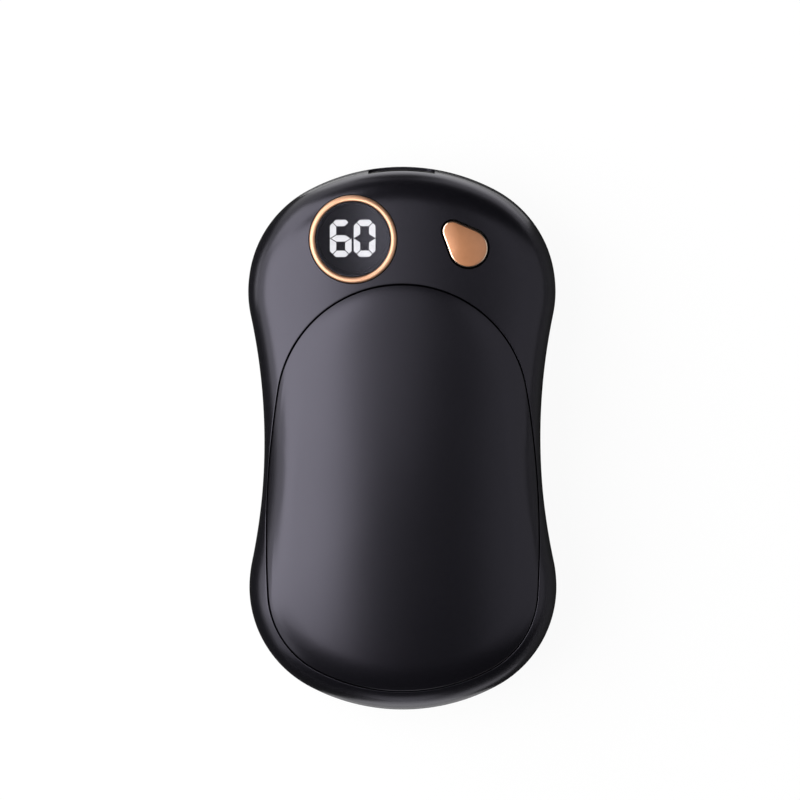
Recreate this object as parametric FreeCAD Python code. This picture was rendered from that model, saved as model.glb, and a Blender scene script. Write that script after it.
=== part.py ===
import FreeCAD, Part
import math
import os
from functools import lru_cache
from FreeCAD import Vector

# Rechargeable hand warmer, in millimetres. It lies on its back: +Z is the front face, +Y the port end,
# and the origin is the middle of the flat that it rests on.

# Body: a pebble with a waist, drawn in plan by tangent arcs
body_length = 104.0
body_width = 59.0
body_thickness = 25.0
end_radius = 38.5
shoulder_radius = 21.6
waist_draw = 3.0
crown_radius_across = 120.0
crown_radius_along = 420.0
back_flat_drop = 0.6
edge_radius = 6.5
crown_overreach = 10.0

# Shells
shell_wall = 2.3
lip_height = 1.2
lip_thickness = 1.0
lip_clearance = 0.08
layer_gap = 0.02

# Front heat plate, an egg in plan
plate_thickness = 0.6
plate_gap = 0.2
bond_thickness = 0.2
plate_end_margin = 4.0
plate_control_depth = 21.8
plate_waist_margin = 0.4
plate_taper = 2.1
plate_widest_from_end = 32.8
plate_end_radius = 36.0
plate_corner_radius = 17.0

# Back heat plate follows the body outline
back_plate_margin = 3.2

# Bond frames and heater films under the plates
bond_edge_inset = 0.3
bond_width = 2.6
film_gap = 0.6
film_clearance = 0.04
film_window_width = 7.0
film_window_length = 3.0
film_window_from_end = 28.0

# Display
display_x = -9.34
display_from_end = 13.06
bezel_outer_diameter = 16.8
bezel_inner_diameter = 14.5
bezel_proud = 0.3
bezel_clearance = 0.05
bezel_round = 0.5
display_seat_depth = 2.5
display_boss_wall = 1.25
display_ledge_thickness = 1.4
lens_sink = 0.3
lens_clearance = 0.05
lens_dish_radius = 60.0
reflector_diameter = 12.8
reflector_clearance = 0.2
reflector_lens_gap = 0.1
digit_width = 4.17
digit_height = 7.17
digit_pitch = 4.63
digit_chamfer = 1.14
segment_width = 1.2
segment_gap = 0.2
diffuser_depth = 1.0
diffuser_clearance = 0.03
led_length = 1.0
led_width = 0.6
led_height = 0.5
lit_by_digit = ("acdefg", "abcdef")

# Button, a droplet in plan
button_x = 12.81
button_from_end = 14.82
button_radius = 3.65
button_tip_radius = 1.89
button_tip_dx = -3.07
button_tip_dy = 3.28
button_gap = 0.3
button_proud = 0.35
button_edge_round = 0.4
button_collar_wall = 1.2
button_collar_depth = 3.36
button_flange_width = 0.9
button_flange_thickness = 0.75
button_stop_gap = 0.05
button_stem_length = 0.45
button_stem_radius = 1.2

# Tact switch
switch_size = 6.0
switch_height = 2.0
switch_floor = 0.5
switch_well_radius = 2.2
switch_cover_thickness = 0.2
switch_fit = 0.05
plunger_radius = 1.5
plunger_flange_radius = 2.0
plunger_flange_thickness = 0.5
plunger_flange_drop = 0.25
dome_thickness = 0.1
terminal_width = 0.8
terminal_thickness = 0.2
terminal_foot = 1.0

# Main board, hung under the front shell
board_depth = 7.36
board_thickness = 1.2
board_edge_inset = 4.3
board_boss_gap = 1.2
board_lower_from_end = 29.5
board_screw_side_inset = 3.4
board_screw_side_rise = 4.6
board_screw_middle_x = 3.4
board_screw_middle_from_end = 14.0
board_boss_radius = 2.2
board_pilot_radius = 0.62
board_screw_clearance = 0.15
board_screw_length = 5.0
board_screw_head_radius = 1.5
board_screw_head_height = 0.9

# Type C socket and its insert in the end wall
usb_width = 8.94
usb_height = 3.2
usb_wall = 0.3
usb_length = 7.4
usb_core_length = 2.2
usb_tongue_width = 6.69
usb_tongue_thickness = 0.7
usb_tongue_setback = 0.8
usb_contact_width = 0.4
usb_contact_pitch = 2.0
usb_contact_thickness = 0.06
usb_contact_length = 3.0
port_width = 12.7
port_height = 7.0
port_corner_radius = 1.6
port_recess = 0.5
port_fit = 0.08
port_flange_width = 1.0
port_flange_thickness = 0.8
usb_setback = 0.4
usb_fit = 0.08

# Board parts
parts_row_rise = 12.0
capacitor_row_rise = 19.0
chip_x = -11.0
inductor_x = 11.0
chip_length = 6.0
chip_width = 5.0
chip_height = 1.6
inductor_size = 7.0
inductor_height = 3.0
inductor_corner = 1.5
transistor_length = 3.0
transistor_width = 2.6
transistor_height = 1.1
transistor_spacing = 5.0
capacitor_length = 3.2
capacitor_width = 1.6
capacitor_height = 1.6
capacitor_first_x = -13.4
capacitor_pitch = 2.4
capacitor_count = 5

# Battery, held between foam pads by ribs
cell_end_gap = 12.6
cell_side_gap = 4.7
cell_face_gap = 7.0
cell_round = 1.8
cell_rib_gap = 0.3
cell_rib_thickness = 1.1
cell_rib_length = 36.0
cell_end_rib_length = 22.0
cell_rib_drop = 2.0
tab_width = 5.0
tab_thickness = 0.2
tab_length = 1.2
tab_spacing = 18.0
protection_thickness = 1.0
protection_height = 7.6
protection_low_drop = 4.0
protection_overhang = 5.0
protection_board_gap = 1.0
pad_inset = 3.0

# Leads and temperature beads
lead_diameter = 1.2
sense_lead_diameter = 0.6
lead_pitch = 3.0
sense_lead_pitch = 1.3
lead_bend_radius = 1.2
lead_landing = 4.5
lead_step_depth = 4.2
battery_lead_drop = 3.2
battery_lead_x = 5.0
bead_diameter = 1.8
bead_length = 2.6
bead_round = 0.36
bead_x = 9.0
bead_clearance = 0.3

# Shell screws
screw_side_inset = 6.0
screw_lobe_offset = 1.6
screw_boss_radius = 2.6
screw_head_radius = 1.9
screw_head_height = 1.4
screw_head_clearance = 0.2
screw_head_sink = 0.9
screw_radius = 0.8
screw_bite = 5.5
screw_hole_clearance = 0.2
pilot_clearance = 0.02
pilot_spare_depth = 0.5
screw_head_round = 0.3
recess_rim = 0.6
recess_width = 0.5
recess_depth = 0.7

# Places that follow from the sizes above
half_length = body_length / 2
half_width = body_width / 2
half_waist = half_width - waist_draw
parting = body_thickness / 2
reach = body_length
shoulder_x = half_width - shoulder_radius
lobe_y = half_length - end_radius + math.sqrt((end_radius - shoulder_radius) ** 2 - shoulder_x ** 2)
waist_radius = (lobe_y ** 2 + waist_draw ** 2) / (2 * waist_draw) - shoulder_radius
pocket_depth = plate_thickness + bond_thickness


def crown_z(x, y):
    """Height of the front crown above the resting plane."""
    across = math.sqrt(crown_radius_across ** 2 - x ** 2) - crown_radius_across
    return body_thickness - crown_radius_along + math.sqrt((crown_radius_along + across) ** 2 - y ** 2)


def back_crown_z(x, y):
    """Height of the back crown, before the resting flat cuts it."""
    return body_thickness - crown_z(x, y) - back_flat_drop


display_y = half_length - display_from_end
display_seat = crown_z(display_x, display_y) - display_seat_depth
button_y = half_length - button_from_end
button_crown = crown_z(button_x, button_y)
button_collar = button_crown - button_collar_depth
flange_top = button_collar - button_stop_gap
flange_bottom = flange_top - button_flange_thickness
stem_bottom = flange_bottom - button_stem_length
switch_x = button_x + button_tip_dx / 2
switch_y = button_y + button_tip_dy / 2
board_top = button_crown - board_depth
board_bottom = board_top - board_thickness
board_lower = half_length - board_lower_from_end
parts_row_y = board_lower + parts_row_rise
capacitor_row_y = board_lower + capacitor_row_rise
port_z = board_bottom - usb_height / 2
usb_mouth = half_length - port_recess - usb_setback
screw_x = half_width - screw_side_inset
screw_y = lobe_y + screw_lobe_offset
board_half_width = screw_x - screw_boss_radius - board_boss_gap
cell_bottom = cell_end_gap - half_length
cell_top = board_lower - protection_board_gap - protection_thickness - tab_length
cell_half_width = half_waist - shell_wall - cell_side_gap
cell_back = cell_face_gap
cell_front = body_thickness - cell_face_gap
cell_middle_y = (cell_bottom + cell_top) / 2
protection_y = cell_top + tab_length
window_y = half_length - film_window_from_end


def tangent_loop(arcs, inset):
    """Closed wire of tangent arcs, moved inwards. Each arc is (centre, radius, +1 bulging or -1 hollow)."""
    radii = [radius - inset * side for centre, radius, side in arcs]
    joins = []
    for i, (centre, radius, side) in enumerate(arcs):
        following, following_radius, following_side = arcs[(i + 1) % len(arcs)]
        toward = (following - centre).normalize()
        if side == following_side and radius < following_radius:
            toward = -toward
        joins.append(centre + toward * radii[i])
    edges = []
    for i, (centre, radius, side) in enumerate(arcs):
        start, end = joins[i - 1], joins[i]
        middle = centre + ((start - centre) + (end - centre)).normalize() * radii[i]
        edges.append(Part.Arc(start, middle, end).toShape())
    return Part.Wire(edges)


def body_outline(inset):
    end_y = half_length - end_radius
    waist_x = half_waist + waist_radius
    return tangent_loop([
        (Vector(0, end_y, 0), end_radius, 1),
        (Vector(shoulder_x, lobe_y, 0), shoulder_radius, 1),
        (Vector(waist_x, 0, 0), waist_radius, -1),
        (Vector(shoulder_x, -lobe_y, 0), shoulder_radius, 1),
        (Vector(0, -end_y, 0), end_radius, 1),
        (Vector(-shoulder_x, -lobe_y, 0), shoulder_radius, 1),
        (Vector(-waist_x, 0, 0), waist_radius, -1),
        (Vector(-shoulder_x, lobe_y, 0), shoulder_radius, 1),
    ], inset)


def front_plate_outline(inset):
    """Egg: a round top, nearly straight sides that spread downwards, round corners and a flatter end."""
    widest = half_waist - plate_waist_margin
    widest_y = plate_widest_from_end - half_length
    top_radius = widest - plate_taper
    top_y = half_length - plate_control_depth - top_radius
    rise = top_y - widest_y
    side_radius = (widest ** 2 + rise ** 2 - top_radius ** 2) / (2 * plate_taper)
    side = Vector(widest - side_radius, widest_y, 0)
    end = Vector(0, plate_end_margin - half_length + plate_end_radius, 0)
    to_side = side_radius - plate_corner_radius
    to_end = plate_end_radius - plate_corner_radius
    apart = (end - side).Length
    along = (to_side ** 2 - to_end ** 2 + apart ** 2) / (2 * apart)
    aside = math.sqrt(to_side ** 2 - along ** 2)
    unit = (end - side).normalize()
    corner = side + unit * along + Vector(unit.y, -unit.x, 0) * aside
    return tangent_loop([
        (Vector(0, top_y, 0), top_radius, 1),
        (side, side_radius, 1),
        (corner, plate_corner_radius, 1),
        (end, plate_end_radius, 1),
        (Vector(-corner.x, corner.y, 0), plate_corner_radius, 1),
        (Vector(-side.x, side.y, 0), side_radius, 1),
    ], inset)


def back_plate_outline(inset):
    return body_outline(back_plate_margin + inset)


def prism(wire, low, high):
    solid = Part.Face(wire).extrude(Vector(0, 0, high - low))
    solid.translate(Vector(0, 0, low))
    return solid


def block(x, y, low, width, length, high):
    """Box centred on x, y between two heights."""
    return Part.makeBox(width, length, high - low, Vector(x - width / 2, y - length / 2, low))


def rod(x, y, low, radius, high):
    return Part.makeCylinder(radius, high - low, Vector(x, y, low))


def front_half():
    return block(0, 0, parting, reach, 2 * reach, parting + reach)


def back_half():
    return block(0, 0, parting - reach, reach, 2 * reach, parting)


def crown_block(apex, inset):
    """Everything under a doubly curved crown whose top is at the given height."""
    across = crown_radius_across - inset
    along = crown_radius_along - inset
    side = body_width
    edge_z = apex - across + math.sqrt(across ** 2 - side ** 2)
    low = apex - 2 * body_width
    top = Part.Arc(Vector(-side, 0, edge_z), Vector(0, 0, apex), Vector(side, 0, edge_z)).toShape()
    corners = [Vector(side, 0, edge_z), Vector(side, 0, low), Vector(-side, 0, low), Vector(-side, 0, edge_z)]
    rest = [Part.makeLine(start, end) for start, end in zip(corners, corners[1:])]
    face = Part.Face(Part.Wire([top] + rest))
    hub = Vector(0, 0, apex - along)
    swing = math.degrees(math.asin((half_length + crown_overreach) / along))
    face.rotate(hub, Vector(1, 0, 0), -swing)
    return face.revolve(hub, Vector(1, 0, 0), 2 * swing)


@lru_cache(maxsize=None)
def pebble(inset):
    """The whole outer form, moved inwards by the inset along its own normals."""
    body = prism(body_outline(inset), inset, body_thickness + edge_radius)
    front = crown_block(body_thickness - inset, inset)
    back = crown_block(body_thickness - inset + back_flat_drop, inset)
    back = back.mirror(Vector(0, 0, parting), Vector(0, 0, 1))
    body = body.common(front).common(back).Solids[0]
    rim = []
    for edge in body.Edges:
        walls = [isinstance(face.Surface, Part.Cylinder) for face in body.ancestorsOfType(edge, Part.Face)]
        if any(walls) and not all(walls):
            rim.append(edge)
    return body.makeFillet(edge_radius - inset, rim).Solids[0]


def skin(outer_inset, inner_inset, plan, half):
    """Layer between two insets of the body, within a plan shape and one half of the thickness."""
    return pebble(outer_inset).common(plan).cut(pebble(inner_inset)).common(half)


def through(wire):
    return prism(wire, -reach, reach)


def stadium(width, height, low_y, high_y):
    """Flat bar with round sides, lying along Y at the height of the port."""
    radius = height / 2
    left = Vector(radius - width / 2, low_y, port_z)
    right = Vector(width / 2 - radius, low_y, port_z)
    up = Vector(0, 0, radius)
    out = Vector(radius, 0, 0)
    wire = Part.Wire([
        Part.makeLine(left + up, right + up),
        Part.Arc(right + up, right + out, right - up).toShape(),
        Part.makeLine(right - up, left - up),
        Part.Arc(left - up, left - out, left + up).toShape(),
    ])
    return Part.Face(wire).extrude(Vector(0, high_y - low_y, 0))


def port_bar(growth):
    """Rounded bar through the end wall, the size of the port or larger."""
    bar = block(0, half_length, port_z - port_height / 2 - growth, port_width + 2 * growth,
                2 * port_width, port_z + port_height / 2 + growth)
    along = [edge for edge in bar.Edges if abs(edge.tangentAt(edge.FirstParameter).y) > 0.9]
    return bar.makeFillet(port_corner_radius + growth, along)


def droplet(growth):
    """Outline of the button: a large and a small circle with their outer tangents."""
    big = Vector(button_x, button_y, 0)
    small = big + Vector(button_tip_dx, button_tip_dy, 0)
    big_radius = button_radius + growth
    small_radius = button_tip_radius + growth
    toward = (small - big).normalize()
    aside = Vector(-toward.y, toward.x, 0)
    lean = math.acos((button_radius - button_tip_radius) / (small - big).Length)
    left = toward * math.cos(lean) + aside * math.sin(lean)
    right = toward * math.cos(lean) - aside * math.sin(lean)
    return Part.Wire([
        Part.Arc(big + left * big_radius, big - toward * big_radius, big + right * big_radius).toShape(),
        Part.makeLine(big + right * big_radius, small + right * small_radius),
        Part.Arc(small + right * small_radius, small + toward * small_radius,
                 small + left * small_radius).toShape(),
        Part.makeLine(small + left * small_radius, big + left * big_radius),
    ])


def lead(points, diameter):
    """Round lead along straight runs with a tangent arc at each inner point."""
    edges = []
    start = points[0]
    for before, corner, after in zip(points, points[1:], points[2:]):
        into = (corner - before).normalize()
        out = (after - corner).normalize()
        bend_start = corner - into * lead_bend_radius
        bend_end = corner + out * lead_bend_radius
        hub = corner + (out - into) * lead_bend_radius
        middle = hub + (corner - hub).normalize() * lead_bend_radius
        edges.append(Part.makeLine(start, bend_start))
        edges.append(Part.Arc(bend_start, middle, bend_end).toShape())
        start = bend_end
    edges.append(Part.makeLine(start, points[-1]))
    first = (points[1] - points[0]).normalize()
    ring = Part.Wire(Part.makeCircle(diameter / 2, points[0], first))
    return Part.Wire(edges).makePipeShell([ring], True, False)


def shell_screw_places():
    return [(x, y) for y in (screw_y, -screw_y) for x in (-screw_x, screw_x)]


def board_screw_places():
    side_x = board_half_width - board_screw_side_inset
    side_y = board_lower + board_screw_side_rise
    middle_y = half_length - board_screw_middle_from_end
    return [(-side_x, side_y), (side_x, side_y), (board_screw_middle_x, middle_y)]


def plain_shell(half, outline):
    """Half of the hollow body, with the pocket for its plate and the windows for the heater leads."""
    shell = pebble(0).cut(pebble(shell_wall)).common(half)
    shell = shell.cut(skin(0, pocket_depth, through(outline(-plate_gap)), half))
    window = block(0, window_y, -reach, film_window_width, film_window_length, reach)
    bead_hole = rod(bead_x, window_y, -reach, bead_diameter / 2 + bead_clearance, reach)
    return shell.cut(window.common(half)).cut(bead_hole.common(half))


def front_shell():
    shell = plain_shell(front_half(), front_plate_outline)
    lip_inner = through(body_outline(shell_wall))
    lip = prism(body_outline(shell_wall - lip_thickness), parting - lip_height, parting + lip_height)
    additions = [rod(x, y, parting, screw_boss_radius, body_thickness) for x, y in shell_screw_places()]
    additions += [rod(x, y, board_top, board_boss_radius, body_thickness) for x, y in board_screw_places()]
    boss_radius = bezel_outer_diameter / 2 + display_boss_wall
    additions.append(rod(display_x, display_y, display_seat - display_ledge_thickness, boss_radius,
                         body_thickness))
    additions.append(prism(droplet(button_gap + button_collar_wall), button_collar, body_thickness))
    inside = pebble(pocket_depth + layer_gap)
    shell = shell.fuse([piece.common(inside) for piece in additions])
    shell = shell.fuse(lip.cut(lip_inner))
    bezel_radius = bezel_outer_diameter / 2 + bezel_clearance
    shell = shell.cut(rod(display_x, display_y, display_seat, bezel_radius, reach))
    shell = shell.cut(rod(display_x, display_y, parting, reflector_diameter / 2 + reflector_clearance, reach))
    shell = shell.cut(prism(droplet(button_gap), parting, reach))
    for x, y in shell_screw_places():
        tip = parting + screw_bite + pilot_spare_depth
        shell = shell.cut(rod(x, y, 0, screw_radius + pilot_clearance, tip))
    for x, y in board_screw_places():
        tip = board_bottom + board_screw_length + pilot_spare_depth
        shell = shell.cut(rod(x, y, 0, board_pilot_radius, tip))
    return shell.cut(port_bar(0)).removeSplitter()


def screw_seat(x, y):
    """Height of the shoulder under a shell screw's head."""
    return back_crown_z(x, y) + pocket_depth + screw_head_sink + screw_head_height


def back_shell():
    shell = plain_shell(back_half(), back_plate_outline)
    additions = [rod(x, y, 0, screw_boss_radius, parting) for x, y in shell_screw_places()]
    rib_x = cell_half_width + cell_rib_gap + cell_rib_thickness / 2
    rib_top = parting - cell_rib_drop
    for side in (-1, 1):
        additions.append(block(side * rib_x, cell_middle_y, 0, cell_rib_thickness, cell_rib_length, rib_top))
    end_rib_y = cell_bottom - cell_rib_gap - cell_rib_thickness / 2
    additions.append(block(0, end_rib_y, 0, cell_end_rib_length, cell_rib_thickness, rib_top))
    inside = pebble(pocket_depth + layer_gap)
    shell = shell.fuse([piece.common(inside) for piece in additions])
    rebate_top = through(body_outline(shell_wall - lip_thickness - lip_clearance))
    rebate = rebate_top.common(block(0, 0, parting - lip_height - lip_clearance, reach, 2 * reach, parting))
    shell = shell.cut(rebate.cut(through(body_outline(shell_wall))))
    for x, y in shell_screw_places():
        seat = screw_seat(x, y)
        shell = shell.cut(rod(x, y, 0, screw_head_radius + screw_head_clearance, seat))
        shell = shell.cut(rod(x, y, 0, screw_radius + screw_hole_clearance, body_thickness))
    return shell.cut(port_bar(0)).removeSplitter()


def heat_plate(outline, half):
    return skin(0, plate_thickness, through(outline(0)), half)


def bond_frame(outline, half):
    ring = through(outline(bond_edge_inset)).cut(through(outline(bond_edge_inset + bond_width)))
    return skin(plate_thickness + layer_gap, pocket_depth - layer_gap, ring, half)


def heater_film(outline, half):
    plan = through(outline(bond_edge_inset + bond_width + film_gap))
    return skin(plate_thickness + layer_gap, pocket_depth - layer_gap, plan, half)


def insulation_pad(half, low, high):
    width = 2 * (cell_half_width - pad_inset)
    length = cell_top - cell_bottom - 2 * pad_inset
    plan = block(0, cell_middle_y, low, width, length, high)
    return pebble(shell_wall + layer_gap).common(plan).common(half)


def display_bezel():
    ring = rod(display_x, display_y, display_seat, bezel_outer_diameter / 2, reach)
    ring = ring.cut(rod(display_x, display_y, display_seat, bezel_inner_diameter / 2, reach))
    ring = ring.common(pebble(-bezel_proud)).Solids[0]
    crest = [edge for edge in ring.Edges if edge.BoundBox.ZMin > display_seat + bezel_round]
    return ring.makeFillet(bezel_round, crest)


def display_lens():
    lens = rod(display_x, display_y, display_seat, bezel_inner_diameter / 2 - lens_clearance, reach)
    lens = lens.common(pebble(lens_sink))
    lean_x = display_x / crown_radius_across
    lean_y = display_y / crown_radius_along
    rim_drop = lens_dish_radius - math.sqrt(lens_dish_radius ** 2 - (bezel_inner_diameter / 2) ** 2)
    bottom = Vector(display_x, display_y, crown_z(display_x, display_y) - lens_sink - rim_drop)
    dish_centre = bottom + Vector(lean_x, lean_y, 1).normalize() * lens_dish_radius
    return lens.cut(Part.makeSphere(lens_dish_radius, dish_centre))


def segment_outlines(digit_x):
    """Plan polygons of one digit's seven segments, by their usual letters.

    The digit's corners are chamfered. A gap crosses each corner, and a slanting one runs in from the middle
    of each side.
    """
    left, top, wide, gap = -digit_width / 2, digit_height / 2, segment_width, segment_gap / 2
    across = gap * math.sqrt(2)
    slope = (wide / 2 + gap) / (wide - gap)
    rise = gap * math.sqrt(1 + slope ** 2)
    tip = left + gap + rise / slope
    near, far = (digit_chamfer - across) / 2, (digit_chamfer + across) / 2
    upright = [(left, top - digit_chamfer), (left + near, top - far), (left + wide, top - wide - across),
               (left + wide, wide / 2 + gap + rise), (left, rise - gap * slope)]
    end = [(left + digit_chamfer, top), (left + far, top - near), (left + wide + across, top - wide)]
    level = end + [(-x, y) for x, y in reversed(end)]
    point = [(tip + wide / 2 / slope, wide / 2), (tip, 0), (tip + wide / 2 / slope, -wide / 2)]
    bar = point + [(-x, y) for x, y in reversed(point)]
    flips = {"a": (level, 1, 1), "d": (level, 1, -1), "g": (bar, 1, 1), "f": (upright, 1, 1),
             "e": (upright, 1, -1), "b": (upright, -1, 1), "c": (upright, -1, -1)}
    outlines = {}
    for letter, (points, flip_x, flip_y) in flips.items():
        outlines[letter] = [Vector(digit_x + flip_x * x, display_y + flip_y * y, 0) for x, y in points]
    return outlines


def digit_segments():
    """Every segment as (lit, plan polygon)."""
    segments = []
    for place, lit_letters in zip((-0.5, 0.5), lit_by_digit):
        for letter, points in segment_outlines(display_x + place * digit_pitch).items():
            segments.append((letter in lit_letters, points))
    return segments


def segment_prism(points, low, high, growth):
    wire = Part.makePolygon(points + points[:1])
    if growth:
        wire = wire.makeOffset2D(growth)
    return prism(wire, low, high)


def reflector_top():
    return display_seat - reflector_lens_gap


def display_reflector():
    top = reflector_top()
    solid = rod(display_x, display_y, board_top, reflector_diameter / 2, top)
    wells = [segment_prism(points, board_top, top, diffuser_clearance) for lit, points in digit_segments()]
    return solid.cut(wells)


def segments(wanted):
    top = reflector_top()
    return Part.makeCompound([segment_prism(points, top - diffuser_depth, top, 0)
                              for lit, points in digit_segments() if lit == wanted])


def segment_leds():
    chips = []
    for lit, points in digit_segments():
        middle = sum(points, Vector()) * (1 / len(points))
        spread = [max(p[axis] for p in points) - min(p[axis] for p in points) for axis in (0, 1)]
        size = (led_length, led_width) if spread[0] > spread[1] else (led_width, led_length)
        chips.append(block(middle.x, middle.y, board_top, size[0], size[1], board_top + led_height))
    return Part.makeCompound(chips)


def button_cap():
    cap = prism(droplet(0), flange_bottom, reach).common(pebble(-button_proud)).Solids[0]
    crest = [edge for edge in cap.Edges if edge.BoundBox.ZMin > flange_top + button_edge_round]
    cap = cap.makeFillet(button_edge_round, crest)
    flange = prism(droplet(button_gap + button_flange_width), flange_bottom, flange_top)
    stem = rod(switch_x, switch_y, stem_bottom, button_stem_radius, flange_top)
    return cap.fuse([flange, stem]).removeSplitter()


def switch_base():
    base = block(switch_x, switch_y, board_top, switch_size, switch_size, board_top + switch_height)
    return base.cut(rod(switch_x, switch_y, board_top + switch_floor, switch_well_radius, reach))


def switch_cover():
    low = board_top + switch_height
    high = low + switch_cover_thickness
    cover = block(switch_x, switch_y, low, switch_size, switch_size, high)
    return cover.cut(rod(switch_x, switch_y, low, plunger_radius + switch_fit, high))


def plunger_flange_top():
    return board_top + switch_height - plunger_flange_drop


def switch_plunger():
    high = plunger_flange_top()
    flange = rod(switch_x, switch_y, high - plunger_flange_thickness, plunger_flange_radius, high)
    pin = rod(switch_x, switch_y, high, plunger_radius, stem_bottom - button_stop_gap)
    return flange.fuse(pin).removeSplitter()


def switch_dome():
    """Thin cap of a sphere that stands on the well's floor under the plunger."""
    foot = board_top + switch_floor
    crest = plunger_flange_top() - plunger_flange_thickness - layer_gap
    rise = crest - foot
    rim = switch_well_radius - switch_fit
    radius = (rim ** 2 + rise ** 2) / (2 * rise)
    centre = Vector(switch_x, switch_y, crest - radius)
    outer = Part.makeSphere(radius, centre)
    shell = outer.cut(Part.makeSphere(radius - dome_thickness, centre))
    return shell.common(rod(switch_x, switch_y, foot, switch_well_radius, reach))


def switch_terminals():
    """Four gull-wing legs, two on each side of the switch."""
    legs = []
    wall_top = board_top + switch_height / 2
    foot_top = board_top + terminal_thickness
    for side in (-1, 1):
        for place in (-1, 1):
            y = switch_y + place * (switch_size / 2 - terminal_width)
            wall_x = switch_x + side * (switch_size + terminal_thickness) / 2
            foot_x = switch_x + side * (switch_size + terminal_foot) / 2
            wall = block(wall_x, y, board_top, terminal_thickness, terminal_width, wall_top)
            foot = block(foot_x, y, board_top, terminal_foot, terminal_width, foot_top)
            legs.append(wall.fuse(foot).removeSplitter().Solids[0])
    return Part.makeCompound(legs)


def main_board():
    board = prism(body_outline(board_edge_inset), board_bottom, board_top)
    length = half_length - board_lower
    middle = board_lower + length / 2
    board = board.common(block(0, middle, board_bottom, 2 * board_half_width, length, board_top))
    for x, y in board_screw_places():
        board = board.cut(rod(x, y, board_bottom, board_pilot_radius + board_screw_clearance, board_top))
    return board


def port_bezel():
    """Insert that fills the port from inside, with a flange behind the end wall."""
    outer = through(body_outline(port_recess))
    inner = through(body_outline(shell_wall + port_fit + port_flange_thickness))
    face = port_bar(-port_fit).common(outer).cut(inner)
    flange = port_bar(port_flange_width).common(pebble(shell_wall + port_fit)).cut(inner)
    back = half_length - shell_wall - port_width
    insert = face.fuse(flange).cut(stadium(usb_width + 2 * usb_fit, usb_height + 2 * usb_fit, back, reach))
    return insert.removeSplitter()


def usb_shell():
    outer = stadium(usb_width, usb_height, usb_mouth - usb_length, usb_mouth)
    inner_width = usb_width - 2 * usb_wall
    inner_height = usb_height - 2 * usb_wall
    return outer.cut(stadium(inner_width, inner_height, usb_mouth - usb_length, usb_mouth))


def usb_tongue():
    """Moulded core: a block that fills the back of the shell and the tongue in front of it."""
    back = usb_mouth - usb_length
    core = stadium(usb_width - 2 * usb_wall, usb_height - 2 * usb_wall, back, back + usb_core_length)
    tip = usb_mouth - usb_tongue_setback
    length = tip - back
    tongue = block(0, tip - length / 2, port_z - usb_tongue_thickness / 2, usb_tongue_width, length,
                   port_z + usb_tongue_thickness / 2)
    return core.fuse(tongue).removeSplitter()


def usb_contacts():
    """Three gilt strips on each face of the tongue."""
    start = usb_mouth - usb_length + usb_core_length
    strips = []
    for place in (-1, 0, 1):
        for low in (usb_tongue_thickness / 2, -usb_tongue_thickness / 2 - usb_contact_thickness):
            strips.append(block(place * usb_contact_pitch, start + usb_contact_length / 2, port_z + low,
                                usb_contact_width, usb_contact_length, port_z + low + usb_contact_thickness))
    return Part.makeCompound(strips)


def charge_controller():
    return block(chip_x, parts_row_y, board_bottom - chip_height, chip_length, chip_width, board_bottom)


def boost_inductor():
    core = block(inductor_x, parts_row_y, board_bottom - inductor_height, inductor_size, inductor_size,
                 board_bottom)
    upright = [edge for edge in core.Edges if abs(edge.tangentAt(edge.FirstParameter).z) > 0.9]
    return core.makeFillet(inductor_corner, upright)


def heater_transistors():
    low = board_bottom - transistor_height
    return Part.makeCompound([block(place * transistor_spacing, parts_row_y, low, transistor_width,
                                    transistor_length, board_bottom) for place in (-0.5, 0.5)])


def board_capacitors():
    low = board_bottom - capacitor_height
    return Part.makeCompound([block(capacitor_first_x + i * capacitor_pitch, capacitor_row_y, low,
                                    capacitor_width, capacitor_length, board_bottom)
                              for i in range(capacitor_count)])


def battery_cell():
    length = cell_top - cell_bottom
    cell = block(0, cell_middle_y, cell_back, 2 * cell_half_width, length, cell_front)
    return cell.makeFillet(cell_round, cell.Edges)


def battery_tabs():
    y = cell_top + tab_length / 2
    low = parting - tab_thickness / 2
    return Part.makeCompound([block(side * tab_spacing, y, low, tab_width, tab_length, low + tab_thickness)
                              for side in (-0.5, 0.5)])


def battery_protection_board():
    middle = protection_y + protection_thickness / 2
    width = 2 * (cell_half_width - protection_overhang)
    low = parting - protection_low_drop
    return block(0, middle, low, width, protection_thickness, low + protection_height)


def battery_lead(x):
    start = Vector(x, protection_y + protection_thickness, parting - battery_lead_drop)
    corner = Vector(x, board_lower + lead_landing, parting - battery_lead_drop)
    return lead([start, corner, Vector(corner.x, corner.y, board_bottom)], lead_diameter)


def film_face(x, front):
    """Inner face of a heater film above its window."""
    if front:
        return crown_z(x, window_y) - pocket_depth
    return back_crown_z(x, window_y) + pocket_depth


def window_leads(middle_x, pitch, diameter, start_drop, front):
    """Pair of leads from a window in a shell to the board, stepping sideways on the way."""
    inward = -1 if front else 1
    board_face = board_top if front else board_bottom
    pair = []
    for side in (-0.5, 0.5):
        x = middle_x + side * pitch
        face = film_face(middle_x, front)
        step = face + inward * lead_step_depth
        landing_y = board_lower + lead_landing
        pair.append(lead([Vector(x, window_y, face + inward * start_drop), Vector(x, window_y, step),
                          Vector(x, landing_y, step), Vector(x, landing_y, board_face)], diameter))
    return Part.makeCompound(pair)


def thermistor(front):
    face = film_face(bead_x, front)
    inward = -1 if front else 1
    low, high = sorted((face + inward * film_clearance, face + inward * bead_length))
    bead = rod(bead_x, window_y, low, bead_diameter / 2, high)
    return bead.makeFillet(bead_round, bead.Edges)


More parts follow.
